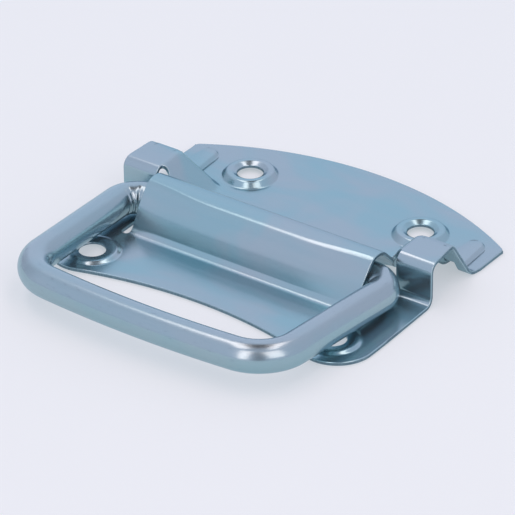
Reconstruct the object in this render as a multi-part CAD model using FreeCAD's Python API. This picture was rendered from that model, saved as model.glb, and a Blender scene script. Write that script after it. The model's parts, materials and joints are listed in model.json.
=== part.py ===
import FreeCAD, Part
import math
import os

os.makedirs("parts", exist_ok=True)

# Chest handle: a stamped sheet-steel base plate and a bail bent from round rod, lying folded down.
# Millimetres. X runs along the pivot, +Y towards the arched edge of the plate, +Z away from the chest wall.
# The origin is on the mounting face, midway between the two screw holes beside the arched edge.

# Sheet and outline of the base plate
sheet_t = 1.0
plate_w = 97.5
crown_y = 19.4
back_corner_y = 5.6
back_corner_r = 2.0
lobe_r = 10.1
lobe_y = -54.3
notch_y = -58.5

# Screw holes, each inside a raised form: high rings beside the arched edge, low bosses at the front
hole_d = 7.0
back_pitch = 54.0
front_pitch = 75.0
row_pitch = 54.5
ring_foot_d = 15.4
lip_rise = 0.5
lip_t = 0.4
back_ring_rise = 1.75
back_ring_crest_d = 10.8
back_ring_flat = 1.0
back_ring_run = 1.5
back_ring_bevel = 0.35
front_boss_rise = 0.6
front_boss_crest_d = 12.0
front_boss_flat = 0.9
front_boss_run = 1.1

# Rod of the bail
rod_d = 8.5
bail_len = 51.3
bail_w = 82.5
arm_taper_deg = 3.0
back_bend_r = 6.8
front_bend_r = 11.6
grip_bow = 1.2
rod_end_gap = 2.0
side_rest = 0.7

# Pivot of the bail, under the ridge
pivot_y = -31.6
pivot_lift = 0.75
rest_gap = 0.93
stop_gap = 0.25

# Ridge that holds the bail's bar: the clear gap between rod and sheet on each of its four faces
ridge_len = 70.0
foot_gap = 1.1
foot_slope_deg = 62.0
brow_gap = 0.65
brow_slope_deg = 51.0
crest_gap = 1.85
rear_gap = 1.7
rear_slope_deg = 45.0
foot_bend_r = 3.0
brow_bend_r = 9.0
crest_bend_r = 4.5
rear_bend_r = 5.0

# Slots that free the ends of the ridge
slot_w = 2.6
slot_front_y = -42.8

# Ears that stop the raised bail
ear_front_h = 11.0
ear_back_h = 11.6
ear_top_len = 10.5
ear_back_run = 7.2
ear_side_run = 7.0
ear_side_in = 0.6
ear_foot_r = 2.0
ear_edge_r = 3.0
ear_base_r = 3.5

# Waist of the side edges, drawn in where the ears are raised
waist_front_in = 0.5
waist_back_in = 1.5
waist_start_y = -48.0

# Stiffening ribs down the back of the ears and on along the sheet
rib_x = 42.2
rib_top_w = 8.0
rib_end_w = 5.2
rib_h = 1.45
rib_lead = 2.5
rib_brow_r = 2.4
rib_flank = 0.8
rib_wall = 0.7
rib_end_y = 3.6
rib_bend_r = 3.0

# Sizes that follow from the ones above
rod_r = rod_d / 2
half_w = plate_w / 2
ridge_half = ridge_len / 2
slot_r = slot_w / 2
slot_mid_x = ridge_half + slot_r
ear_in_x = ridge_half + slot_w
pivot_z = sheet_t + pivot_lift + rod_r
front_row_y = -row_pitch
hole_r = hole_d / 2
ring_foot_r = ring_foot_d / 2
ear_wall_y = pivot_y + rod_r + stop_gap
above_all = 4 * (ear_back_h + pivot_z)
margin = 2 * sheet_t
tiny = 1e-6


def vec(x, y, z):
    return FreeCAD.Vector(x, y, z)


def cross_point(p, p_dir, q, q_dir):
    """Where two lines of a plane meet, each given by a point and a direction."""
    det = p_dir[0] * q_dir[1] - p_dir[1] * q_dir[0]
    along = ((q[0] - p[0]) * q_dir[1] - (q[1] - p[1]) * q_dir[0]) / det
    return (p[0] + along * p_dir[0], p[1] + along * p_dir[1])


def unit(a, b):
    length = math.hypot(b[0] - a[0], b[1] - a[1])
    return ((b[0] - a[0]) / length, (b[1] - a[1]) / length)


def offset_path(points, distance):
    """An open path moved to its right-hand side by a distance, corners kept sharp."""
    lines = []
    for a, b in zip(points, points[1:]):
        d = unit(a, b)
        lines.append(((a[0] + d[1] * distance, a[1] - d[0] * distance), d))
    moved = [lines[0][0]]
    for first, second in zip(lines, lines[1:]):
        moved.append(cross_point(first[0], first[1], second[0], second[1]))
    d = lines[-1][1]
    end = points[-1]
    moved.append((end[0] + d[1] * distance, end[1] - d[0] * distance))
    return moved


def turn_sign(a, b, c):
    u = unit(a, b)
    w = unit(b, c)
    return u[0] * w[1] - u[1] * w[0]


def offset_radii(points, radii, distance):
    """Bend radii of the same path on the far side of a sheet: smaller inside a bend, larger outside."""
    moved = []
    for i, radius in enumerate(radii):
        inside = turn_sign(points[i], points[i + 1], points[i + 2]) < 0
        moved.append(radius - distance if inside else radius + distance)
    return moved


def bent_edges(points, radii, place):
    """Lines of an open path joined by tangent arcs. place turns a pair into a space point."""
    edges = []
    last = points[0]
    for i, radius in enumerate(radii):
        a, b, c = points[i], points[i + 1], points[i + 2]
        u = unit(b, a)
        w = unit(b, c)
        half = math.acos(max(-1.0, min(1.0, u[0] * w[0] + u[1] * w[1]))) / 2
        reach = radius / math.tan(half)
        start = (b[0] + u[0] * reach, b[1] + u[1] * reach)
        end = (b[0] + w[0] * reach, b[1] + w[1] * reach)
        mid_dir = unit((0, 0), (u[0] + w[0], u[1] + w[1]))
        to_mid = radius / math.sin(half) - radius
        mid = (b[0] + mid_dir[0] * to_mid, b[1] + mid_dir[1] * to_mid)
        edges.append(Part.makeLine(place(last), place(start)))
        edges.append(Part.Arc(place(start), place(mid), place(end)).toShape())
        last = end
    edges.append(Part.makeLine(place(last), place(points[-1])))
    return edges


def closed_face(edges, place, corners):
    """A face bounded by a run of edges and straight lines back through the given corners."""
    first = edges[0].Vertexes[0].Point
    last = edges[-1].Vertexes[-1].Point
    stops = [last] + [place(corner) for corner in corners] + [first]
    closing = [Part.makeLine(a, b) for a, b in zip(stops, stops[1:])]
    return Part.Face(Part.Wire(edges + closing))


def form_solids(points, radii, x_from, x_to):
    """The raised form of a bent path, as two bars along X: up to the sheet's top, and up to its underside."""
    def place(p):
        return vec(x_from, p[0], p[1])

    run = vec(x_to - x_from, 0, 0)
    top = bent_edges(points, radii, place)
    outer = closed_face(top, place, [(points[-1][0], 0), (points[0][0], 0)]).extrude(run)
    under_points = offset_path(points, sheet_t)
    under = bent_edges(under_points, offset_radii(points, radii, sheet_t), place)
    low = -margin
    inner = closed_face(under, place, [(points[-1][0], low), (points[0][0], low)]).extrude(run)
    return outer, inner


def ridge_path():
    """Top of the sheet across the ridge: each face keeps its gap from the bail's bar."""
    def face_line(gap, slope_deg, towards):
        slope = math.radians(slope_deg)
        out = (towards * math.sin(slope), math.cos(slope))
        reach = rod_r + gap + sheet_t
        point = (pivot_y + out[0] * reach, pivot_z + out[1] * reach)
        return point, (-out[1], out[0])

    foot, foot_dir = face_line(foot_gap, foot_slope_deg, -1)
    brow, brow_dir = face_line(brow_gap, brow_slope_deg, -1)
    crest, crest_dir = face_line(crest_gap, 0, 1)
    rear, rear_dir = face_line(rear_gap, rear_slope_deg, 1)
    ground = (pivot_y, sheet_t)
    flat = (1, 0)
    front = cross_point(ground, flat, foot, foot_dir)
    back = cross_point(ground, flat, rear, rear_dir)
    return [
        (front[0] - 2 * foot_bend_r, sheet_t),
        front,
        cross_point(foot, foot_dir, brow, brow_dir),
        cross_point(brow, brow_dir, crest, crest_dir),
        cross_point(crest, crest_dir, rear, rear_dir),
        back,
        (back[0] + rear_bend_r, sheet_t),
    ]


def beyond_plane(point, normal):
    """A large block that starts at a plane and lies on the side its normal points to."""
    size = 4 * plate_w
    block = Part.makeBox(size, size, size, vec(-size / 2, -size / 2, 0))
    turn = FreeCAD.Rotation(vec(0, 0, 1), normal)
    block.Placement = FreeCAD.Placement(point, turn)
    return block


ridge_points = ridge_path()
ridge_radii = [foot_bend_r, brow_bend_r, crest_bend_r, crest_bend_r, rear_bend_r]
ear_back_y = ear_wall_y + ear_top_len
ear_end_y = ear_back_y + ear_back_run
ear_front_z = sheet_t + ear_front_h
ear_back_z = sheet_t + ear_back_h
ear_rise = (ear_back_h - ear_front_h) / ear_top_len
ear_side_top_x = ear_in_x - ear_side_in
ear_side_base_x = ear_side_top_x - ear_side_run
ear_planes = [
    (vec(0, ear_wall_y, 0), vec(0, -1, 0)),
    (vec(0, ear_back_y, ear_back_z), vec(0, ear_front_h - ear_back_h, ear_top_len).normalize()),
    (vec(0, ear_back_y, ear_back_z), vec(0, ear_back_h, ear_back_run).normalize()),
    (vec(ear_side_top_x, 0, ear_back_z), vec(-ear_back_h, 0, ear_side_run).normalize()),
]


def valley_y():
    """Where the ridge's back slope is as high as the ear's side beside it: the slot ends there."""
    side_z = sheet_t + ear_back_h * (ridge_half - ear_side_base_x) / ear_side_run
    top, bottom = ridge_points[4], ridge_points[5]
    along = (top[1] - side_z) / (top[1] - bottom[1])
    return top[0] + along * (bottom[0] - top[0])


slot_rear_y = valley_y()


def outline_face():
    """Plan of the plate: arched back, straight sides, round front lobes joined by a hollow arc."""
    lobe_x = half_w - lobe_r
    rise = lobe_y - notch_y
    notch_r = (lobe_x ** 2 + rise ** 2 - lobe_r ** 2) / (2 * (lobe_r - rise))
    notch_mid = (0, notch_y - notch_r)
    to_notch = unit((lobe_x, lobe_y), notch_mid)
    meet = (lobe_x + lobe_r * to_notch[0], lobe_y + lobe_r * to_notch[1])
    sagitta = crown_y - back_corner_y
    arch_r = (half_w ** 2 + sagitta ** 2) / (2 * sagitta)
    arch_mid_y = crown_y - arch_r
    corner_x = half_w - back_corner_r
    corner_y = arch_mid_y + math.sqrt((arch_r - back_corner_r) ** 2 - corner_x ** 2)
    to_arch = unit((0, arch_mid_y), (corner_x, corner_y))
    arch_end = (to_arch[0] * arch_r, arch_mid_y + to_arch[1] * arch_r)
    turn = math.radians(45)
    bend = unit((0, 0), (1 + to_arch[0], to_arch[1]))

    def p(x, y):
        return vec(x, y, 0)

    right = [
        Part.Arc(
            p(*meet),
            p(lobe_x + lobe_r * math.sin(turn), lobe_y - lobe_r * math.cos(turn)),
            p(half_w, lobe_y),
        ).toShape(),
        Part.makeLine(p(half_w, lobe_y), p(half_w, corner_y)),
        Part.Arc(
            p(half_w, corner_y),
            p(corner_x + back_corner_r * bend[0], corner_y + back_corner_r * bend[1]),
            p(*arch_end),
        ).toShape(),
    ]
    left = [edge.mirror(vec(0, 0, 0), vec(1, 0, 0)) for edge in right]
    arch = Part.Arc(p(*arch_end), p(0, crown_y), p(-arch_end[0], arch_end[1])).toShape()
    notch = Part.Arc(p(-meet[0], meet[1]), p(0, notch_y), p(*meet)).toShape()
    edges = Part.__sortEdges__(right + left + [arch, notch])
    return Part.Face(Part.Wire(edges))


def middle_of(edge):
    return edge.valueAt((edge.FirstParameter + edge.LastParameter) / 2)


def on_planes(spot, planes):
    """For each plane, whether a point lies in it."""
    return [abs((spot - point).dot(normal)) < tiny for point, normal in planes]


def ear_block(inward):
    """One raised ear on the +X side standing on flat sheet, up to the sheet's top.

    With inward set to the sheet's thickness it is the same form up to the sheet's underside.
    """
    level = sheet_t - inward
    planes = [(point - normal * inward, normal) for point, normal in ear_planes]
    length = ear_end_y - ear_wall_y
    form = Part.makeBox(plate_w, 2 * length, above_all, vec(0, ear_wall_y - length / 2, -margin))
    for point, normal in planes:
        form = form.cut(beyond_plane(point, normal))
    creases = []
    for edge in form.Edges:
        wall, top, slope, side = on_planes(middle_of(edge), planes)
        if (top and (wall or slope or side)) or (slope and side):
            creases.append(edge)
    form = form.makeFillet(ear_edge_r - inward, creases)
    ahead = Part.makeBox(slot_mid_x, plate_w, above_all, vec(0, slot_rear_y - plate_w, -2 * margin))
    outside = Part.makeBox(plate_w, 2 * plate_w, above_all, vec(half_w, -plate_w, -2 * margin))
    form = form.cut(ahead).cut(outside)
    reach = ear_base_r + inward
    floor_x = ear_side_base_x - reach
    floor_y = ear_wall_y - reach
    floor = Part.makeBox(half_w - floor_x, length + 2 * reach, level + margin, vec(floor_x, floor_y, -margin))
    block = floor.fuse(form).removeSplitter()
    base = []
    for edge in block.Edges:
        middle = middle_of(edge)
        on_floor = abs(middle.z - level) < tiny and edge.BoundBox.ZLength < tiny
        within = floor_x + tiny < middle.x < half_w - tiny
        if on_floor and within and slot_rear_y + tiny < middle.y < ear_end_y + tiny:
            base.append(edge)
    block = block.makeFillet(ear_base_r + inward, base)
    foot = []
    for edge in block.Edges:
        middle = middle_of(edge)
        on_floor = abs(middle.z - level) < tiny and edge.BoundBox.ZLength < tiny
        if on_floor and abs(middle.y - ear_wall_y - inward) < tiny:
            foot.append(edge)
    return block.makeFillet(ear_foot_r + inward, foot)


def bevelled(points, cut):
    """An open path with each inner corner cut off at an equal distance along both sides."""
    path = [points[0]]
    for before, corner, after in zip(points, points[1:], points[2:]):
        for other in (before, after):
            d = unit(corner, other)
            path.append((corner[0] + d[0] * cut, corner[1] + d[1] * cut))
    path.append(points[-1])
    return path


def screw_ring(x, y, rise, crest_d, flat, run, bevel=0):
    """The sheet round one screw hole: a raised form whose inner side leads to the lip of the hole."""
    crest_out = (crest_d + flat) / 2
    crest_in = (crest_d - flat) / 2
    foot = crest_out + run
    lip_top = sheet_t + lip_rise
    top_z = sheet_t + rise
    top = [(ring_foot_r, sheet_t), (foot, sheet_t), (crest_out, top_z), (crest_in, top_z), (hole_r, lip_top)]
    under = [(hole_r, lip_top - lip_t), (crest_in, rise), (crest_out, rise), (foot, 0), (ring_foot_r, 0)]
    form = bevelled(top[1:], bevel) if bevel else top[1:]
    section = top[:1] + form + under
    corners = [vec(x + r, y, z) for r, z in section]
    face = Part.Face(Part.makePolygon(corners + corners[:1]))
    return face.revolve(vec(x, y, 0), vec(0, 0, 1), 360)


def screw_places():
    """Each screw hole's place and form: rings in the back row, bosses in the front row."""
    ring = (back_ring_rise, back_ring_crest_d, back_ring_flat, back_ring_run, back_ring_bevel)
    boss = (front_boss_rise, front_boss_crest_d, front_boss_flat, front_boss_run)
    back_row = [(x, 0, ring) for x in (-back_pitch / 2, back_pitch / 2)]
    front_row = [(x, front_row_y, boss) for x in (-front_pitch / 2, front_pitch / 2)]
    return back_row + front_row


def stadium(x, y_from, y_to, radius, z, height):
    """An upright slot-shaped block along Y with round ends that reach y_from and y_to."""
    a = vec(x - radius, y_from + radius, z)
    b = vec(x + radius, y_from + radius, z)
    c = vec(x + radius, y_to - radius, z)
    d = vec(x - radius, y_to - radius, z)
    edges = [
        Part.Arc(a, vec(x, y_from, z), b).toShape(),
        Part.makeLine(b, c),
        Part.Arc(c, vec(x, y_to, z), d).toShape(),
        Part.makeLine(d, a),
    ]
    return Part.Face(Part.Wire(edges)).extrude(vec(0, 0, height))


def rib_block(inward):
    """One rib on the +X side, from the ear's top down its back slope and along the sheet to a round end.

    With inward set to the sheet's thickness it is the groove on the underside.
    """
    level = sheet_t - inward
    wall = rib_wall if inward else 0
    half_top = rib_top_w / 2 - wall
    half_end = rib_end_w / 2 - wall
    slope = (ear_end_y - ear_back_y, -ear_back_h)
    path = [
        (ear_back_y, ear_back_z),
        (ear_end_y, sheet_t),
        (rib_end_y, sheet_t),
    ]
    upper = offset_path(path, inward - rib_h)
    lead = offset_path([(ear_back_y - rib_lead, ear_back_z - rib_lead * ear_rise), path[0]], inward)
    upper[0] = cross_point(upper[0], slope, lead[0], (1, ear_rise))

    def place(p):
        return vec(rib_x - half_top, p[0], p[1])

    edges = bent_edges(lead[:1] + upper, [rib_brow_r - inward, rib_bend_r + inward], place)
    lead_y = lead[0][0]
    face = closed_face(edges, place, [(rib_end_y, -margin), (lead_y, -margin)])
    bar = face.extrude(vec(2 * half_top, 0, 0))
    round_y = rib_end_y - wall - half_end
    deep = -2 * margin
    corners = [
        vec(rib_x + half_end, round_y, deep),
        vec(rib_x + half_top, lead_y, deep),
        vec(rib_x - half_top, lead_y, deep),
        vec(rib_x - half_end, round_y, deep),
    ]
    tip = Part.Arc(corners[3], vec(rib_x, round_y + half_end, deep), corners[0]).toShape()
    sides = [Part.makeLine(first, second) for first, second in zip(corners, corners[1:])]
    plan = Part.Face(Part.Wire(sides + [tip])).extrude(vec(0, 0, above_all))
    bar = bar.common(plan).removeSplitter()
    rim = []
    for edge in bar.Edges:
        middle = middle_of(edge)
        if middle.y > ear_back_y and middle.z > level + rib_h - tiny:
            rim.append(edge)
    return bar.makeChamfer(rib_flank, rim)


def side_waist():
    """The sliver outside the drawn-in side edge on the +X side."""
    corners = [
        vec(half_w, waist_start_y, -margin),
        vec(half_w - waist_front_in, ear_wall_y, -margin),
        vec(half_w - waist_back_in, ear_back_y, -margin),
        vec(half_w, ear_end_y + ear_base_r, -margin),
        vec(half_w + margin, ear_back_y, -margin),
    ]
    return Part.Face(Part.makePolygon(corners + corners[:1])).extrude(vec(0, 0, above_all))


def ridge_ends():
    """The ridge's back slope carried on behind the slot until it is inside the ear on the +X side."""
    outer, inner = form_solids(ridge_points, ridge_radii, slot_mid_x, ear_in_x)
    behind = Part.makeBox(plate_w, plate_w, above_all, vec(0, slot_rear_y, -2 * margin))
    return outer.common(behind), inner.common(behind)


def mirrored(shape):
    return shape.mirror(vec(0, 0, 0), vec(1, 0, 0))


def build_base_plate():
    """Flat blank, raised forms up to the sheet's top, then the same forms hollowed to its underside."""
    sheet = outline_face().extrude(vec(0, 0, sheet_t))
    ridge_outer, ridge_inner = form_solids(ridge_points, ridge_radii, -slot_mid_x, slot_mid_x)
    above_base = Part.makeBox(2 * plate_w, 4 * plate_w, above_all, vec(0, -2 * plate_w, 0))
    ear_outer = ear_block(0).common(above_base)
    ear_inner = ear_block(sheet_t)
    ridge_end_outer, ridge_end_inner = ridge_ends()
    outers = [ridge_outer, ear_outer, mirrored(ear_outer), ridge_end_outer, mirrored(ridge_end_outer)]
    inners = [ridge_inner, ear_inner, mirrored(ear_inner), ridge_end_inner, mirrored(ridge_end_inner)]
    rib_outer = rib_block(0).common(above_base)
    rib_inner = rib_block(sheet_t)
    outers += [rib_outer, mirrored(rib_outer)]
    inners += [rib_inner, mirrored(rib_inner)]
    sheet = sheet.multiFuse(outers)
    rings = []
    for x, y, form in screw_places():
        sheet = sheet.cut(Part.makeCylinder(ring_foot_r, 4 * sheet_t, vec(x, y, -sheet_t)))
        rings.append(screw_ring(x, y, *form))
    sheet = sheet.multiFuse(rings)
    for inner in inners:
        sheet = sheet.cut(inner)
    for x in (-slot_mid_x, slot_mid_x):
        slot = stadium(x, slot_front_y, slot_rear_y + slot_r, slot_r, -margin, above_all)
        sheet = sheet.cut(slot)
    waist = side_waist()
    return sheet.cut(waist).cut(mirrored(waist)).removeSplitter()


def rod_path():
    """Centre line of the bail lying level with its back bar on the pivot, open at the hidden ends."""
    taper = math.radians(arm_taper_deg)
    arm_dir = (-math.sin(taper), -math.cos(taper))
    arm_out = (math.cos(taper), -math.sin(taper))
    corner = (bail_w / 2, 0)
    back_mid_x = corner[0] - back_bend_r * math.tan((math.pi / 2 - taper) / 2 + taper)
    back_mid = (back_mid_x, -back_bend_r)
    arm_start = (back_mid[0] + arm_out[0] * back_bend_r, back_mid[1] + arm_out[1] * back_bend_r)
    grip_half = bail_w / 2 - bail_len * math.tan(taper) - front_bend_r
    grip_r = (grip_half ** 2 + grip_bow ** 2) / (2 * grip_bow)
    grip_mid = (0, -bail_len - grip_bow + grip_r)
    inset = (arm_start[0] - arm_out[0] * front_bend_r, arm_start[1] - arm_out[1] * front_bend_r)
    reach = grip_r - front_bend_r
    off = (inset[0] - grip_mid[0], inset[1] - grip_mid[1])
    half_b = off[0] * arm_dir[0] + off[1] * arm_dir[1]
    along = -half_b + math.sqrt(half_b ** 2 - (off[0] ** 2 + off[1] ** 2 - reach ** 2))
    front_mid = (inset[0] + arm_dir[0] * along, inset[1] + arm_dir[1] * along)
    arm_end = (arm_start[0] + arm_dir[0] * along, arm_start[1] + arm_dir[1] * along)
    grip_dir = unit(grip_mid, front_mid)
    grip_end = (grip_mid[0] + grip_dir[0] * grip_r, grip_mid[1] + grip_dir[1] * grip_r)
    back_bisect = unit((0, 0), (arm_out[0], arm_out[1] + 1))
    front_bisect = unit((0, 0), (arm_out[0] + grip_dir[0], arm_out[1] + grip_dir[1]))

    def p(pair):
        return vec(pair[0], pair[1], 0)

    back_via = (back_mid[0] + back_bisect[0] * back_bend_r, back_mid[1] + back_bisect[1] * back_bend_r)
    front_via = (front_mid[0] + front_bisect[0] * front_bend_r, front_mid[1] + front_bisect[1] * front_bend_r)
    right = [
        Part.makeLine(p((rod_end_gap / 2, 0)), p((back_mid[0], 0))),
        Part.Arc(p((back_mid[0], 0)), p(back_via), p(arm_start)).toShape(),
        Part.makeLine(p(arm_start), p(arm_end)),
        Part.Arc(p(arm_end), p(front_via), p(grip_end)).toShape(),
    ]
    grip = Part.Arc(p(grip_end), p((0, -bail_len - grip_bow)), p((-grip_end[0], grip_end[1]))).toShape()
    left = [edge.mirror(vec(0, 0, 0), vec(1, 0, 0)) for edge in reversed(right)]
    return Part.Wire(right + [grip] + left)


def build_bail():
    """Round rod along its centre line, tilted until its arms keep the rest gap over the front bosses."""
    path = rod_path()
    section = Part.Wire(Part.makeCircle(rod_r, vec(rod_end_gap / 2, 0, 0), vec(1, 0, 0)))
    bail = path.makePipeShell([section], True, False)
    contact = pivot_y - front_row_y - front_boss_crest_d / 2
    rise = front_boss_rise + rest_gap - pivot_lift
    tilt = math.degrees(math.atan2(rise, contact))
    bail.rotate(vec(0, 0, 0), vec(1, 0, 0), -tilt)
    bail.translate(vec(-side_rest, pivot_y, pivot_z))
    print("rest tilt of the bail in degrees:", round(tilt, 3))
    print("pivot at y, z:", round(pivot_y, 3), round(pivot_z, 3))
    return bail


base_plate = build_base_plate()
bail = build_bail()
for name, shape in (("base_plate", base_plate), ("bail", bail)):
    shape.exportStep("parts/" + name + ".step")
    box = shape.BoundBox
    print(name, shape.ShapeType, len(shape.Solids), "valid", shape.isValid(), "volume", round(shape.Volume, 1))
    print("   box", [round(value, 2) for value in (box.XMin, box.XMax, box.YMin, box.YMax, box.ZMin, box.ZMax)])
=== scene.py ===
import json
import math

import bmesh
import bpy
from mathutils import Matrix, Quaternion, Vector


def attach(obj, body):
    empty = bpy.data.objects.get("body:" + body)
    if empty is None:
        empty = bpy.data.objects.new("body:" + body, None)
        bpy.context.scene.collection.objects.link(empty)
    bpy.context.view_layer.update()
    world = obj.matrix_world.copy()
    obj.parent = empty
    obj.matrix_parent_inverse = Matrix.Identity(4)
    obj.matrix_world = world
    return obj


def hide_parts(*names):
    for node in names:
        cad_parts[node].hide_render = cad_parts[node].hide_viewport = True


# Chest handle in bright blue-passivated zinc: the stamped sheet plate and the bail bent from round rod.
# Lengths below are millimetres, turned into metres where the meshes are made.

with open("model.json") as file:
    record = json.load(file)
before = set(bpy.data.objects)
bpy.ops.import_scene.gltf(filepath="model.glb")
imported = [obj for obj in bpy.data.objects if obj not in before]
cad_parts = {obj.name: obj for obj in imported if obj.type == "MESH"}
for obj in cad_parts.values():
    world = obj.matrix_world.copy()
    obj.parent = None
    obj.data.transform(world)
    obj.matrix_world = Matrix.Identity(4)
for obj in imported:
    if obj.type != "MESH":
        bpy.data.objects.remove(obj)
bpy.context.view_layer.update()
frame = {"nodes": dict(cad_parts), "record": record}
mm = 0.001

# Bail, as the frame holds it
rod_r = 4.25
bail_len = 51.3
bail_w = 82.5
arm_taper_deg = 3.0
back_bend_r = 6.8
front_bend_r = 11.6
grip_bow = 1.2
rod_end_gap = 2.0
side_rest = 0.7
rest_tilt_deg = 2.643
rod_sides = 64
rod_step = 0.8
bend_step = 0.25
end_round = 0.7

# Marks that bending left on the rod: creases on the inside, a flat on the outside
crease_places = (0.06, 0.34, 0.65)
crease_depths = (0.10, 0.34, 0.30)
crease_widths = (0.050, 0.080, 0.080)
crease_sway = 0.035
crease_bulge = 0.16
outer_flat = 0.22
front_flat_share = 0.6

# Plate: its sheet, its half width, and the directions that count as one plane
sheet_top = 1.0
plate_half_w = 48.75
same_plane = 0.9999
weld_gap = 0.004
slice_gap = 0.02

# Cut edges: how steep an edge is, and how far it is broken
cut_edge_deg = 62.0
top_edge_round = 0.22
low_edge_round = 0.10

# Ridge: where it lies, and how its crest bows
ridge_half = 35.0
ridge_front_y = -47.0
ridge_back_y = -16.0
ridge_top = 13.1
crest_front_y = -33.4
crest_rear_y = -28.9
bow_forward = 1.5
bow_down = 0.35
bow_ramp = 21.0
slice_step = 3.0

# The ridge's front foot: the corners of the sheet's top and underside (y, z), and how much softer its bend is
foot_span = (-46.6, -38.6)
foot_top = ((-60.0, 1.0), (-41.445, 1.0), (-37.0, 9.36))
foot_under = ((-60.0, 0.0), (-40.844, 0.0), (-36.4, 8.36))
foot_plain = (3.0, 4.0)
foot_soft = (8.0, 9.0)
foot_fade = (26.0, 34.5)
foot_near = 0.2
foot_slice_x = 1.5
foot_slice_y = 0.5

# Ears: side profile (y, z) and its roundings; how far back their slopes and ribs sit of the plain form, and where
ear_corners = ((-27.1, 12.0), (-16.6, 12.6), (-9.4, 1.0), (9.0, 1.0))
ear_roundings = (3.0, 2.0)
ear_shift = 1.0
ear_shift_start = (-22.0, -17.0)
ear_shift_end = (4.3, 5.2)
ear_shift_x = (28.0, 30.0)
ear_shift_ring = (8.3, 12.0)

# Ribs: the stretch they lie in, their height and half widths, how their start grows and how their flanks run out
rib_x_span = (37.8, 46.6)
rib_y_span = (-18.5, 5.2)
rib_x = 42.2
rib_top = 1.67
rib_start_y = -19.1
rib_round_y = 1.0
rib_half_w = (4.0, 2.6)
rib_start_share = 0.12
rib_growth = ((-16.6, -12.4, 0.73), (-10.0, -5.0, 0.15))
rib_foot_out = 0.28
rib_flank_near = (-0.35, 0.6)
rib_flank_start = (-8.5, -6.0)
rib_flank_end_y = 6.0

# Screw holes: where they are, and the corners (radius, height) and roundings of the form round them
back_holes = ((-27.0, 0.0), (27.0, 0.0))
front_holes = ((-37.5, -54.5), (37.5, -54.5))
hole_r = 3.5
hole_zone_r = 7.2
form_slack = 0.02
under_inset = 0.2
plain_ring_r = 7.4
ring_corners = (
    (8.0, 1.0), (7.6, 1.0), (6.2, 2.65), (4.9, 2.65), (3.5, 1.85),
    (3.5, 1.1), (4.9, 1.75), (6.0, 1.75), (7.8, 0.0),
)
ring_roundings = (0.8, 1.1, 1.0, 0.35, 0.05, 0.3, 0.3)
plain_boss_r = 7.55
boss_corners = (
    (7.9, 1.0), (7.45, 1.0), (6.35, 1.65), (5.45, 1.65), (3.5, 1.35),
    (3.5, 0.8), (5.45, 0.65), (6.35, 0.65), (7.7, 0.0),
)
boss_roundings = (1.2, 1.4, 1.2, 0.30, 0.05, 0.3, 0.3)

# Camera of the photograph: where it looks from, and the point of the part that lies on its axis
view_azimuth = 36.14
view_elevation = 31.03
view_roll = -0.75
view_distance = 1025.64
view_focus = (0.0, -24.4, 1.0)
view_offset = (-5.767, -3.556)
image_px = 515
focal_px = 4000.0
sensor_w = 36.0

# Studio: a pale tent with dark gaps overhead and where the camera stands, two soft boxes and two overhead strips
tent_tone = 0.815
tent_dark = 0.03
tent_tint = (0.945, 0.89, 1.065, 1.0)
box_tint = (1.52, 1.0, 0.87)
floor_glow = (0.40, 0.42, 0.445, 1.0)
light_distance = 1600.0
floor_half = 3000.0
floor_z = -0.2


def direction(azimuth, elevation):
    """Unit vector for an azimuth from +Y towards +X and an elevation, both in degrees."""
    a = math.radians(azimuth)
    e = math.radians(elevation)
    return Vector((math.sin(a) * math.cos(e), math.cos(a) * math.cos(e), math.sin(e)))


def smooth(low, high, value):
    """Rises softly from 0 at low to 1 at high."""
    t = min(max((value - low) / (high - low), 0.0), 1.0)
    return t * t * (3 - 2 * t)


def unit(x, y):
    length = math.hypot(x, y)
    return x / length, y / length


# Materials

metal_share = 0.89
sheet_grazing = (0.56, 0.66, 0.72, 1.0)
rod_grazing = (0.84, 0.92, 0.96, 1.0)


def add_node(tree, kind, inputs=None, **settings):
    """A new node with its settings and input values; an input may be a value or another node's output."""
    node = tree.nodes.new(kind)
    for name, value in settings.items():
        setattr(node, name, value)
    for name, value in (inputs or {}).items():
        socket = node.inputs[name]
        if isinstance(value, bpy.types.NodeSocket):
            tree.links.new(value, socket)
        else:
            socket.default_value = value
    return node


def stretched_noise(tree, place, stretch, scale, detail=2.0, roughness=0.5, distortion=0.0):
    """Noise over the given place, with a scale of its own along each axis."""
    mapping = add_node(tree, "ShaderNodeMapping", {"Vector": place, "Scale": stretch})
    noise = add_node(tree, "ShaderNodeTexNoise", {
        "Vector": mapping.outputs["Vector"],
        "Scale": scale,
        "Detail": detail,
        "Roughness": roughness,
        "Distortion": distortion,
    })
    return noise.outputs["Fac"]


def map_range(tree, value, low, high, to_low, to_high):
    node = add_node(tree, "ShaderNodeMapRange", {
        "Value": value,
        "From Min": low,
        "From Max": high,
        "To Min": to_low,
        "To Max": to_high,
    }, interpolation_type="SMOOTHSTEP")
    return node.outputs["Result"]


def mix_colour(tree, share, first, second):
    node = tree.nodes.new("ShaderNodeMix")
    node.data_type = "RGBA"
    for index, value in ((0, share), (6, first), (7, second)):
        if isinstance(value, bpy.types.NodeSocket):
            tree.links.new(value, node.inputs[index])
        else:
            node.inputs[index].default_value = value
    return node.outputs[2]


def bump(tree, height, depth, below=None):
    """A bump layer of the given depth in metres, over an earlier one."""
    inputs = {"Height": height, "Strength": 1.0, "Distance": depth}
    if below is not None:
        inputs["Normal"] = below
    return add_node(tree, "ShaderNodeBump", inputs).outputs["Normal"]


def metal(name, grazing_tint):
    """An empty metal material under a thin film that scatters a little: its tree and its shader."""
    material = bpy.data.materials.new(name)
    material.use_nodes = True
    tree = material.node_tree
    shader = tree.nodes["Principled BSDF"]
    shader.inputs["Metallic"].default_value = metal_share
    shader.inputs["Specular Tint"].default_value = grazing_tint
    return material, tree, shader


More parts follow.
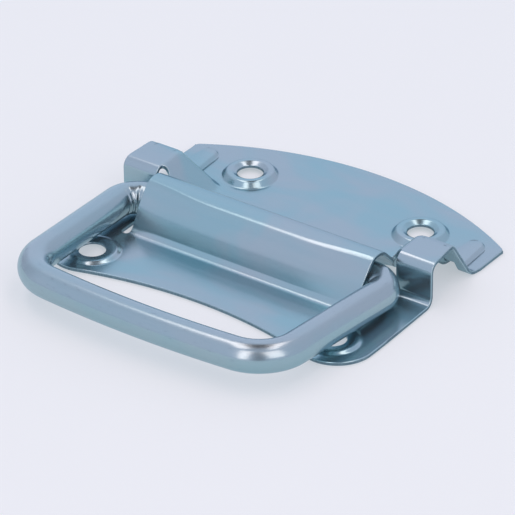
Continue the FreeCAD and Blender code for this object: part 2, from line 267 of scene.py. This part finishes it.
def sheet_zinc():
    """Bright zinc on rolled sheet: pinkish and cyan patches, faint rolling streaks along X, orange peel."""
    material, tree, shader = metal("zinc_sheet", sheet_grazing)
    place = add_node(tree, "ShaderNodeTexCoord").outputs["Object"]
    patches = stretched_noise(tree, place, (1.0, 1.6, 1.6), 34.0, 2.0, 0.55, 0.6)
    streaks = stretched_noise(tree, place, (14.0, 520.0, 520.0), 1.0, 4.0, 0.6)
    film = mix_colour(
        tree,
        map_range(tree, patches, 0.36, 0.64, 0.0, 1.0),
        (0.268, 0.480, 0.538, 1.0),
        (0.332, 0.472, 0.526, 1.0),
    )
    streaked = mix_colour(
        tree,
        map_range(tree, streaks, 0.3, 0.7, 0.0, 0.10),
        film,
        (0.40, 0.53, 0.57, 1.0),
    )
    tree.links.new(streaked, shader.inputs["Base Color"])
    tree.links.new(map_range(tree, streaks, 0.3, 0.7, 0.17, 0.23), shader.inputs["Roughness"])
    waves = stretched_noise(tree, place, (1.0, 1.0, 1.0), 55.0, 1.0)
    peel = stretched_noise(tree, place, (1.0, 1.0, 1.0), 620.0, 3.0, 0.6)
    layer = bump(tree, waves, 0.00005)
    layer = bump(tree, peel, 0.0000030, layer)
    layer = bump(tree, streaks, 0.0000022, layer)
    tree.links.new(layer, shader.inputs["Normal"])
    return material


def cut_zinc():
    """The sheet's cut edges: duller and greyer, with fine tear marks across the thickness."""
    material, tree, shader = metal("zinc_cut_edge", sheet_grazing)
    place = add_node(tree, "ShaderNodeTexCoord").outputs["Object"]
    tears = stretched_noise(tree, place, (1.0, 1.0, 0.15), 2600.0, 2.0, 0.6)
    tone = mix_colour(
        tree,
        map_range(tree, tears, 0.3, 0.7, 0.0, 1.0),
        (0.115, 0.190, 0.240, 1.0),
        (0.200, 0.310, 0.370, 1.0),
    )
    tree.links.new(tone, shader.inputs["Base Color"])
    tree.links.new(map_range(tree, tears, 0.3, 0.7, 0.32, 0.44), shader.inputs["Roughness"])
    tree.links.new(bump(tree, tears, 0.000006), shader.inputs["Normal"])
    return material


def rod_zinc():
    """Zinc on drawn rod: drawing lines along it, a granular skin and sparse pits, less patchy than the sheet."""
    material, tree, shader = metal("zinc_rod", rod_grazing)
    place = add_node(tree, "ShaderNodeAttribute", attribute_name="rod_place").outputs["Vector"]
    patches = stretched_noise(tree, place, (0.5, 1.0, 1.0), 70.0, 2.0, 0.5, 0.4)
    lines = stretched_noise(tree, place, (0.06, 1.0, 1.0), 2400.0, 3.0, 0.6)
    grain = stretched_noise(tree, place, (0.6, 1.0, 1.0), 3000.0, 2.0, 0.6)
    pits = stretched_noise(tree, place, (0.45, 1.0, 1.0), 1500.0, 1.0, 0.5)
    film = mix_colour(
        tree,
        map_range(tree, patches, 0.35, 0.65, 0.0, 1.0),
        (0.292, 0.455, 0.508, 1.0),
        (0.326, 0.455, 0.504, 1.0),
    )
    lined = mix_colour(
        tree,
        map_range(tree, lines, 0.35, 0.65, 0.0, 0.10),
        film,
        (0.40, 0.52, 0.56, 1.0),
    )
    pit_share = map_range(tree, pits, 0.66, 0.76, 0.0, 0.20)
    tree.links.new(mix_colour(tree, pit_share, lined, (0.12, 0.17, 0.23, 1.0)), shader.inputs["Base Color"])
    tree.links.new(map_range(tree, grain, 0.3, 0.7, 0.20, 0.24), shader.inputs["Roughness"])
    layer = bump(tree, lines, 0.0000008)
    layer = bump(tree, grain, 0.0000005, layer)
    layer = bump(tree, pits, 0.0000020, layer)
    tree.links.new(layer, shader.inputs["Normal"])
    return material


def floor_paint():
    """Pale matt studio floor with a barely seen mottle, lit a little from below like a light table."""
    material = bpy.data.materials.new("pale_floor")
    material.use_nodes = True
    tree = material.node_tree
    shader = tree.nodes["Principled BSDF"]
    place = add_node(tree, "ShaderNodeTexCoord").outputs["Object"]
    mottle = stretched_noise(tree, place, (1.0, 1.0, 1.0), 9.0, 3.0)
    tone = mix_colour(tree, mottle, (0.36, 0.42, 0.43, 1.0), (0.37, 0.43, 0.44, 1.0))
    tree.links.new(tone, shader.inputs["Base Color"])
    shader.inputs["Roughness"].default_value = 0.9
    shader.inputs["Specular IOR Level"].default_value = 0.0
    shader.inputs["Emission Color"].default_value = floor_glow
    shader.inputs["Emission Strength"].default_value = 1.0
    return material


# Bail

def arc(mid, radius, start, end, step, kind):
    """Samples of a clockwise arc: x, y, heading x, heading y, kind of stretch, share of the arc."""
    count = max(2, round(abs(end - start) * radius / step))
    samples = []
    for i in range(1, count + 1):
        share = i / count
        a = start + (end - start) * share
        heading = (math.sin(a), -math.cos(a))
        samples.append((mid[0] + radius * math.cos(a), mid[1] + radius * math.sin(a), *heading, kind, share))
    return samples


def line(start, end, step):
    """Samples of a straight stretch after its start, as arc gives them."""
    length = math.hypot(end[0] - start[0], end[1] - start[1])
    heading = unit(end[0] - start[0], end[1] - start[1])
    count = max(2, round(length / step))
    samples = []
    for i in range(1, count + 1):
        reach = length * i / count
        samples.append((start[0] + heading[0] * reach, start[1] + heading[1] * reach, *heading, "straight", 0.0))
    return samples


def bail_route():
    """Centre line of the bail lying level with its back bar on the pivot, from one rod end to the other."""
    taper = math.radians(arm_taper_deg)
    arm_dir = (-math.sin(taper), -math.cos(taper))
    arm_out = (math.cos(taper), -math.sin(taper))
    back_mid = (bail_w / 2 - back_bend_r * math.tan((math.pi / 2 - taper) / 2 + taper), -back_bend_r)
    arm_start = (back_mid[0] + arm_out[0] * back_bend_r, back_mid[1] + arm_out[1] * back_bend_r)
    grip_half = bail_w / 2 - bail_len * math.tan(taper) - front_bend_r
    grip_r = (grip_half ** 2 + grip_bow ** 2) / (2 * grip_bow)
    grip_mid = (0.0, -bail_len - grip_bow + grip_r)
    inset = (arm_start[0] - arm_out[0] * front_bend_r, arm_start[1] - arm_out[1] * front_bend_r)
    off = (inset[0] - grip_mid[0], inset[1] - grip_mid[1])
    half_b = off[0] * arm_dir[0] + off[1] * arm_dir[1]
    reach = grip_r - front_bend_r
    along = -half_b + math.sqrt(half_b ** 2 - (off[0] ** 2 + off[1] ** 2 - reach ** 2))
    front_mid = (inset[0] + arm_dir[0] * along, inset[1] + arm_dir[1] * along)
    arm_end = (arm_start[0] + arm_dir[0] * along, arm_start[1] + arm_dir[1] * along)
    grip_angle = math.atan2(front_mid[1] - grip_mid[1], front_mid[0] - grip_mid[0])
    right_angle = math.pi / 2
    first = (rod_end_gap / 2, 0.0)
    route = [(first[0], first[1], 1.0, 0.0, "straight", 0.0)]
    route += line(first, (back_mid[0], 0.0), rod_step)
    route += arc(back_mid, back_bend_r, right_angle, -taper, bend_step, "back_bend")
    route += line(arm_start, arm_end, rod_step)
    route += arc(front_mid, front_bend_r, -taper, grip_angle, bend_step, "front_bend")
    route += arc(grip_mid, grip_r, grip_angle, -math.pi - grip_angle, rod_step, "grip")
    far_mid = (-front_mid[0], front_mid[1])
    far_back = (-back_mid[0], back_mid[1])
    route += arc(far_mid, front_bend_r, -math.pi - grip_angle, -math.pi + taper, bend_step, "front_bend")
    route += line((-arm_end[0], arm_end[1]), (-arm_start[0], arm_start[1]), rod_step)
    route += arc(far_back, back_bend_r, -math.pi + taper, -math.pi - right_angle, bend_step, "back_bend")
    route += line((-back_mid[0], 0.0), (-first[0], 0.0), rod_step)
    return route


def rod_radius(kind, share, turn, side):
    """Radius of the rod at one place of its skin.

    turn is 1 on the outside of a bend and -1 on the inside; side is 1 on the rod's top and -1 below.
    """
    if kind not in ("back_bend", "front_bend"):
        return rod_r
    swell = math.sin(math.pi * share) ** 2
    outside = max(turn, 0.0) ** 2
    inside = smooth(0.15, 0.95, -turn)
    if kind == "front_bend":
        return rod_r - outer_flat * front_flat_share * swell * outside
    radius = rod_r - outer_flat * swell * outside + crease_bulge * swell * inside
    for i, (place, depth, width) in enumerate(zip(crease_places, crease_depths, crease_widths)):
        middle = place + crease_sway * math.sin(3.0 * side + 2.1 * i)
        radius -= depth * inside * math.exp(-((share - middle) / width) ** 2)
    return radius


def bail_mesh():
    """The rod swept along its centre line, with the skin's own coordinates kept for the drawing lines."""
    route = bail_route()
    ends = (route[0], route[-1])
    skin = []
    travelled = 0.0
    for i, sample in enumerate(route):
        if i:
            travelled += math.hypot(sample[0] - route[i - 1][0], sample[1] - route[i - 1][1])
        x, y, hx, hy, kind, share = sample
        ring = []
        for k in range(rod_sides):
            angle = 2 * math.pi * k / rod_sides
            turn = math.cos(angle)
            radius = rod_radius(kind, share, turn, math.sin(angle))
            if sample in ends:
                radius -= end_round
            out = radius * turn
            up = radius * math.sin(angle)
            point = Vector((x - hy * out, y + hx * out, up))
            ring.append((point, Vector((travelled, out, up))))
        skin.append(ring)
    bm = bmesh.new()
    place_layer = bm.verts.layers.float_vector.new("rod_place")
    rings = []
    for ring in skin:
        verts = []
        for point, place in ring:
            vert = bm.verts.new(point * mm)
            vert[place_layer] = place * mm
            verts.append(vert)
        rings.append(verts)
    for near, far in zip(rings, rings[1:]):
        for k in range(rod_sides):
            n = (k + 1) % rod_sides
            bm.faces.new((near[k], near[n], far[n], far[k]))
    bm.faces.new(rings[0][::-1])
    bm.faces.new(rings[-1])
    bmesh.ops.recalc_face_normals(bm, faces=bm.faces)
    for face in bm.faces:
        face.smooth = len(face.verts) == 4
    mesh = bpy.data.meshes.new("bail_rod")
    bm.to_mesh(mesh)
    bm.free()
    return mesh


def make_bail(material):
    """The bail in its folded pose, riding on the handle."""
    bail = bpy.data.objects.new("bail_rod", bail_mesh())
    bpy.context.scene.collection.objects.link(bail)
    pivot = Vector(frame["record"]["behaviour"]["joints"][0]["pos_m"])
    tilt = Matrix.Rotation(math.radians(-rest_tilt_deg), 4, "X")
    bail.data.transform(Matrix.Translation(pivot + Vector((-side_rest * mm, 0.0, 0.0))) @ tilt)
    bail.data.materials.append(material)
    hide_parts("bail")
    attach(bail, "handle")


# Base plate

def on_ridge(spot):
    """Whether a place lies between the ridge's ends, from its front foot to its rear one."""
    return abs(spot.x) < ridge_half and ridge_front_y < spot.y < ridge_back_y


def is_level(face):
    """Whether a face lies in the sheet's plain top or underside."""
    return abs(face.normal.z) > same_plane and max(vert.co.z for vert in face.verts) < 1.01 * sheet_top * mm


def on_front_slope(vert):
    """Whether a corner lies in the ridge's front, from its foot to the crest, or on the end of it."""
    x, y, z = vert.co / mm
    return abs(x) < ridge_half + 0.05 and ridge_front_y < y < crest_front_y


def join_level_faces(bm):
    """Makes the sheet's plain top and underside, and the facets of the ridge's front, out of few faces."""
    edges = []
    for edge in bm.edges:
        if len(edge.link_faces) == 2 and edge.link_faces[0].normal.dot(edge.link_faces[1].normal) > same_plane:
            if all(is_level(face) for face in edge.link_faces) or all(on_front_slope(vert) for vert in edge.verts):
                edges.append(edge)
    bmesh.ops.dissolve_limit(bm, angle_limit=math.radians(0.5), use_dissolve_boundaries=False, verts=[], edges=edges)


def slice_faces(bm, faces, spot, across):
    """Cuts faces along a plane."""
    edges = list(dict.fromkeys(edge for face in faces for edge in face.edges))
    verts = list(dict.fromkeys(vert for face in faces for vert in face.verts))
    place = Vector(spot) * mm
    bmesh.ops.bisect_plane(bm, geom=verts + edges + faces, plane_co=place, plane_no=across, dist=slice_gap * mm)


def foot_faces(bm):
    """The faces in the stretch of the ridge's front foot."""
    faces = []
    for face in bm.faces:
        inside = foot_span[0] * mm < face.calc_center_bounds().y < foot_span[1] * mm
        if inside and any(abs(vert.co.x) < ridge_half * mm for vert in face.verts):
            faces.append(face)
    return faces


def soften_foot(bm):
    """The ridge rises out of the sheet in a wide bend that narrows towards its ends."""
    for y in foot_span:
        slice_faces(bm, bm.faces[:], (0.0, y, 0.0), (0.0, 1.0, 0.0))
    for step in range(-int(ridge_half / foot_slice_x), int(ridge_half / foot_slice_x) + 1):
        slice_faces(bm, foot_faces(bm), (step * foot_slice_x, 0.0, 0.0), (1.0, 0.0, 0.0))
    for i in range(1, int((foot_span[1] - foot_span[0]) / foot_slice_y)):
        slice_faces(bm, foot_faces(bm), (0.0, foot_span[0] + i * foot_slice_y, 0.0), (0.0, 1.0, 0.0))
    for corners, plain, soft in zip((foot_top, foot_under), foot_plain, foot_soft):
        before = rounded_path(corners, (plain,))
        after = rounded_path(corners, (soft,), 1.0)
        for vert in bm.verts:
            x, y, z = vert.co / mm
            inside = abs(x) < ridge_half and foot_span[0] < y < foot_span[1]
            if inside and abs(z - height_on(before, y)) < foot_near:
                share = 1 - smooth(foot_fade[0], foot_fade[1], abs(x))
                vert.co.z += (height_on(after, y) - z) * share * mm


def bow_ridge(bm):
    """The crest's front bend stands forward and lower between its ends; its rear bend stays straight."""
    for step in range(int(-ridge_half / slice_step), int(ridge_half / slice_step) + 1):
        faces = [face for face in bm.faces if on_ridge(face.calc_center_median() / mm) and not is_level(face)]
        slice_faces(bm, faces, (step * slice_step, 0.0, 0.0), (1.0, 0.0, 0.0))
    for vert in bm.verts:
        x, y, z = vert.co / mm
        if on_ridge(vert.co / mm):
            along = smooth(ridge_half, ridge_half - bow_ramp, abs(x))
            height = min(max((z - sheet_top) / (ridge_top - sheet_top), 0.0), 1.0)
            front = min(max((crest_rear_y - y) / (crest_rear_y - crest_front_y), 0.0), 1.0)
            vert.co.y -= bow_forward * along * height * front * mm
            vert.co.z -= bow_down * along * height * front * mm


def height_on(profile, y):
    """The height of a path of (y, z) points at one y, or None beside it."""
    for near, far in zip(profile, profile[1:]):
        if near[0] <= y <= far[0]:
            return near[1] + (far[1] - near[1]) * (y - near[0]) / (far[0] - near[0])
    return None


def slope_rib_flanks(bm):
    """The ribs' flanks run out on the sheet with a slope, not upright."""
    for vert in bm.verts:
        x, y, z = vert.co / mm
        along = (y - rib_start_y) / (rib_round_y - rib_start_y)
        half = rib_half_w[0] + (rib_half_w[1] - rib_half_w[0]) * along
        across = abs(x) - rib_x
        beyond = max(y - rib_round_y, 0.0)
        reach = math.hypot(across, beyond)
        on_flank = rib_flank_near[0] < reach - half < rib_flank_near[1] and 0.99 * sheet_top < z < rib_top
        if on_flank and rib_flank_start[0] < y < rib_flank_end_y:
            out = rib_foot_out * (rib_top - z) / (rib_top - sheet_top) * smooth(*rib_flank_start, y)
            vert.co.x += math.copysign(1.0, x) * out * across / reach * mm
            vert.co.y += out * beyond / reach * mm


def shape_ears(bm):
    """Each rib grows softly out of its ear's bend, and slope and rib sit a little further back."""
    profile = rounded_path(ear_corners, ear_roundings)
    for vert in bm.verts:
        x, y, z = vert.co / mm
        level = height_on(profile, y)
        if level is not None and rib_x_span[0] < abs(x) < rib_x_span[1] and z > level:
            share = rib_start_share + sum(gain * smooth(low, high, y) for low, high, gain in rib_growth)
            vert.co.z = (level + (z - level) * share) * mm
        back = smooth(*ear_shift_start, y) * (1 - smooth(*ear_shift_end, y))
        away = smooth(*ear_shift_ring, math.hypot(abs(x) - back_holes[1][0], y))
        vert.co.y += ear_shift * back * away * smooth(*ear_shift_x, abs(x)) * mm


def on_rib(spot):
    """Whether a place lies in the stretch of the two ribs."""
    return rib_x_span[0] < abs(spot.x) < rib_x_span[1] and rib_y_span[0] < spot.y < rib_y_span[1]


def is_cut_face(face):
    """Whether a face was cut through the sheet: it stands upright, and isn't one of the formed walls."""
    normal = face.normal
    if abs(normal.z) > 0.05 or on_rib(face.calc_center_median() / mm):
        return False
    return abs(normal.x) > 0.9 or face.calc_center_median().z < 1.02 * sheet_top * mm


def near_hole(edge):
    """Whether an edge belongs to the form round a screw hole."""
    spot = edge.verts[0].co / mm
    return any(math.hypot(spot.x - x, spot.y - y) < hole_zone_r for x, y in back_holes + front_holes)


def cut_edges(bm):
    """The edges along the cut faces: those of the sheet's top, and those of its underside."""
    top, low = [], []
    for edge in bm.edges:
        if len(edge.link_faces) != 2 or math.degrees(edge.calc_face_angle(0.0)) < cut_edge_deg:
            continue
        if on_rib(edge.verts[0].co / mm) and on_rib(edge.verts[1].co / mm):
            continue
        first, second = edge.link_faces
        formed = second if first.material_index == 1 else first
        if formed.normal.z > 0.05 or formed.normal.y < -0.5:
            top.append(edge)
        else:
            low.append(edge)
    return top, low


def round_edges(bm, edges, width, segments):
    """Breaks edges by the width, with the given number of facets."""
    bmesh.ops.bevel(
        bm,
        geom=edges,
        offset=width * mm,
        offset_type="OFFSET",
        segments=segments,
        profile=0.5,
        affect="EDGES",
        clamp_overlap=False,
        miter_outer="SHARP",
    )


def rounded_path(points, radii, step_deg=8.0):
    """An open path in a plane with its inner corners rounded."""
    path = [points[0]]
    for before, corner, after, radius in zip(points, points[1:], points[2:], radii):
        u = unit(before[0] - corner[0], before[1] - corner[1])
        w = unit(after[0] - corner[0], after[1] - corner[1])
        half = math.acos(max(-1.0, min(1.0, u[0] * w[0] + u[1] * w[1]))) / 2
        turn = math.pi - 2 * half
        side = 1.0 if w[0] * u[1] - w[1] * u[0] > 0 else -1.0
        inward = unit(u[0] + w[0], u[1] + w[1])
        reach = radius / math.sin(half)
        middle = (corner[0] + inward[0] * reach, corner[1] + inward[1] * reach)
        start = (corner[0] + u[0] * radius / math.tan(half), corner[1] + u[1] * radius / math.tan(half))
        first = math.atan2(start[1] - middle[1], start[0] - middle[0])
        count = max(2, round(math.degrees(turn) / step_deg))
        for i in range(count + 1):
            a = first + side * turn * i / count
            path.append((middle[0] + radius * math.cos(a), middle[1] + radius * math.sin(a)))
    path.append(points[-1])
    return path


def open_screw_hole(bm, place, plain_r, foot):
    """Takes the plain form round one screw hole away and widens the gap to the new form's foot.

    Returns the corners left on the sheet's top, in turn.
    """
    def reach(vert):
        return math.hypot(vert.co.x / mm - place[0], vert.co.y / mm - place[1])

    def bearing(vert):
        return math.atan2(vert.co.y / mm - place[1], vert.co.x / mm - place[0])

    doomed = [face for face in bm.faces if all(reach(vert) < plain_r + form_slack for vert in face.verts)]
    bmesh.ops.delete(bm, geom=doomed, context="FACES")
    rim = set()
    for edge in bm.edges:
        if len(edge.link_faces) == 1 and all(reach(vert) < plain_r + 2.5 * form_slack for vert in edge.verts):
            rim.update(edge.verts)
    for vert in rim:
        widen = (foot if vert.co.z > 0.5 * sheet_top * mm else foot - under_inset) / reach(vert)
        vert.co.x = (place[0] + (vert.co.x / mm - place[0]) * widen) * mm
        vert.co.y = (place[1] + (vert.co.y / mm - place[1]) * widen) * mm
    return sorted((vert for vert in rim if vert.co.z > 0.5 * sheet_top * mm), key=bearing)


def turn_screw_form(bm, place, rim, path):
    """Fills an opened screw hole with a form turned from the path, joined to the rim."""
    columns = []
    for vert in rim:
        heading = unit(vert.co.x / mm - place[0], vert.co.y / mm - place[1])
        column = [vert]
        for r, z in path[1:]:
            column.append(bm.verts.new(((place[0] + heading[0] * r) * mm, (place[1] + heading[1] * r) * mm, z * mm)))
        columns.append(column)
    for near, far in zip(columns, columns[1:] + columns[:1]):
        for k in range(len(path) - 1):
            face = bm.faces.new((near[k], far[k], far[k + 1], near[k + 1]))
            lip = max(path[k][0], path[k + 1][0]) < hole_r + form_slack
            face.material_index = 1 if lip else 0


def sort_faces(bm):
    """Puts the faces in the order of their corners, so that each run writes the same mesh."""
    bm.verts.index_update()
    ordered = sorted(bm.faces, key=lambda face: sorted(vert.index for vert in face.verts))
    places = {face: place for place, face in enumerate(ordered)}
    bm.faces.sort(key=places.get)


def plate_mesh():
    """The frame's own plate with its finer forms: foot, crest, ears, ribs, screw forms and broken edges."""
    source = frame["nodes"]["base_plate"].data
    bm = bmesh.new()
    bm.from_mesh(source)
    bmesh.ops.remove_doubles(bm, verts=bm.verts, dist=weld_gap * mm)
    bm.normal_update()
    join_level_faces(bm)
    soften_foot(bm)
    bm.normal_update()
    bow_ridge(bm)
    slope_rib_flanks(bm)
    shape_ears(bm)
    bm.normal_update()
    for face in bm.faces:
        face.material_index = 1 if is_cut_face(face) else 0
    forms = [(place, plain_ring_r, ring_corners, ring_roundings) for place in back_holes]
    forms += [(place, plain_boss_r, boss_corners, boss_roundings) for place in front_holes]
    rims = [open_screw_hole(bm, place, plain_r, corners[0][0]) for place, plain_r, corners, roundings in forms]
    for (place, plain_r, corners, roundings), rim in zip(forms, rims):
        turn_screw_form(bm, place, rim, rounded_path(corners, roundings))
    bm.normal_update()
    top, low = cut_edges(bm)
    top = [edge for edge in top if not near_hole(edge)]
    low = [edge for edge in low if not near_hole(edge)]
    round_edges(bm, top, top_edge_round, 3)
    round_edges(bm, [edge for edge in low if edge.is_valid], low_edge_round, 1)
    bmesh.ops.remove_doubles(bm, verts=bm.verts, dist=weld_gap * mm)
    for vert in bm.verts:
        vert.co.z = max(vert.co.z, 0.0)
        vert.co.x = min(max(vert.co.x, -plate_half_w * mm), plate_half_w * mm)
    for face in bm.faces:
        face.smooth = True
    sort_faces(bm)
    mesh = bpy.data.meshes.new("stamped_plate")
    bm.to_mesh(mesh)
    bm.free()
    return mesh


def make_plate(materials):
    """The stamped plate, shown in place of the frame's plain one."""
    plate = bpy.data.objects.new("stamped_plate", plate_mesh())
    bpy.context.scene.collection.objects.link(plate)
    for material in materials:
        plate.data.materials.append(material)
    shade = plate.modifiers.new("even_normals", "WEIGHTED_NORMAL")
    shade.mode = "FACE_AREA_WITH_ANGLE"
    shade.weight = 50
    shade.keep_sharp = True
    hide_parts("base_plate")
    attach(plate, "plate")


# Studio

def make_floor():
    """A wide level floor just under the mounting face."""
    bm = bmesh.new()
    corners = [Vector((x * floor_half, y * floor_half, floor_z)) for x, y in ((-1, -1), (1, -1), (1, 1), (-1, 1))]
    bm.faces.new([bm.verts.new(corner * mm) for corner in corners])
    mesh = bpy.data.meshes.new("floor")
    bm.to_mesh(mesh)
    bm.free()
    floor = bpy.data.objects.new("floor", mesh)
    bpy.context.scene.collection.objects.link(floor)
    floor.data.materials.append(floor_paint())


def spot_share(tree, ray, azimuth, elevation, inner_deg, outer_deg):
    """1 within inner_deg of a direction of the sky, 0 outside outer_deg, soft between."""
    dot = add_node(tree, "ShaderNodeVectorMath", {0: ray, 1: direction(azimuth, elevation)}, operation="DOT_PRODUCT")
    return map_range(
        tree,
        dot.outputs["Value"],
        math.cos(math.radians(outer_deg)),
        math.cos(math.radians(inner_deg)),
        0.0,
        1.0,
    )


def make_tent():
    """Pale tent round the part: brighter behind it, duller to the left, dark overhead and where the camera looks in."""
    world = bpy.data.worlds.new("tent")
    bpy.context.scene.world = world
    world.use_nodes = True
    tree = world.node_tree
    ray = add_node(tree, "ShaderNodeTexCoord").outputs["Generated"]
    tone = tent_tone
    spots = (
        (-36.0, 25.0, 20.0, 48.0, 0.19),
        (-165.0, 35.0, 15.0, 50.0, 0.08),
        (-85.0, 15.0, 10.0, 35.0, -0.10),
        (-68.0, 12.0, 4.0, 17.0, -0.12),
        (-24.0, 77.0, 6.0, 13.0, -0.80),
        (10.0, 85.0, 5.0, 12.0, -0.70),
        (-31.0, 67.0, 3.0, 11.0, -0.45),
        (-81.0, 59.5, 3.0, 12.0, 0.12),
        (140.0, 77.0, 4.0, 14.0, -0.30),
        (141.0, 10.0, 7.0, 15.0, -0.45),
        (141.0, 30.0, 7.0, 15.0, -0.45),
        (141.0, 50.0, 7.0, 15.0, -0.45),
    )
    for azimuth, elevation, inner, outer, change in spots:
        share = spot_share(tree, ray, azimuth, elevation, inner, outer)
        part = add_node(tree, "ShaderNodeMath", {0: share, 1: change}, operation="MULTIPLY").outputs[0]
        tone = add_node(tree, "ShaderNodeMath", {0: tone, 1: part}, operation="ADD").outputs[0]
    tone = add_node(tree, "ShaderNodeMath", {0: tone, 1: tent_dark}, operation="MAXIMUM").outputs[0]
    background = tree.nodes["Background"]
    tree.links.new(tone, background.inputs["Strength"])
    background.inputs["Color"].default_value = tent_tint


def softbox(name, azimuth, elevation, width, height, radiance, turn_deg=0.0):
    """A rectangular light that faces the part, as bright as the radiance says; its sides are shares of its distance."""
    data = bpy.data.lights.new(name, "AREA")
    data.shape = "RECTANGLE"
    data.size = width * light_distance * mm
    data.size_y = height * light_distance * mm
    data.energy = radiance * math.pi * data.size * data.size_y
    data.color = box_tint
    light = bpy.data.objects.new(name, data)
    bpy.context.scene.collection.objects.link(light)
    away = direction(azimuth, elevation)
    light.location = Vector(view_focus) * mm + away * light_distance * mm
    turn = Quaternion((0.0, 0.0, 1.0), math.radians(turn_deg))
    light.rotation_euler = (away.to_track_quat("Z", "Y") @ turn).to_euler()


def make_camera():
    """The camera of the photograph, fitted to the screw holes, the outline and the ridge."""
    a = math.radians(view_azimuth)
    e = math.radians(view_elevation)
    back = Vector((math.sin(a) * math.cos(e), -math.cos(a) * math.cos(e), math.sin(e)))
    right = Vector((math.cos(a), math.sin(a), 0.0))
    up = back.cross(right)
    roll = math.radians(view_roll)
    turned_right = right * math.cos(roll) + up * math.sin(roll)
    turned_up = up * math.cos(roll) - right * math.sin(roll)
    spot = Vector(view_focus) + turned_right * view_offset[0] + turned_up * view_offset[1] + back * view_distance
    data = bpy.data.cameras.new("photo_camera")
    data.sensor_width = sensor_w
    data.lens = sensor_w * focal_px / image_px
    data.clip_end = 20.0
    camera = bpy.data.objects.new("photo_camera", data)
    bpy.context.scene.collection.objects.link(camera)
    axes = Matrix((turned_right, turned_up, back)).transposed().to_4x4()
    camera.matrix_world = Matrix.Translation(spot * mm) @ axes
    bpy.context.scene.camera = camera


make_plate((sheet_zinc(), cut_zinc()))
make_bail(rod_zinc())
make_floor()
make_tent()
softbox("right_box", 112.5, 34.0, 0.44, 0.78, 1.25)
softbox("left_box", 168.5, 33.0, 0.29, 1.0, 1.45)
softbox("top_left_strip", -102.5, 73.9, 0.70, 0.27, 1.55, 23.5)
softbox("top_right_strip", 43.7, 71.9, 0.72, 0.17, 1.70, -6.5)
make_camera()
bpy.context.scene.view_settings.view_transform = "Standard"
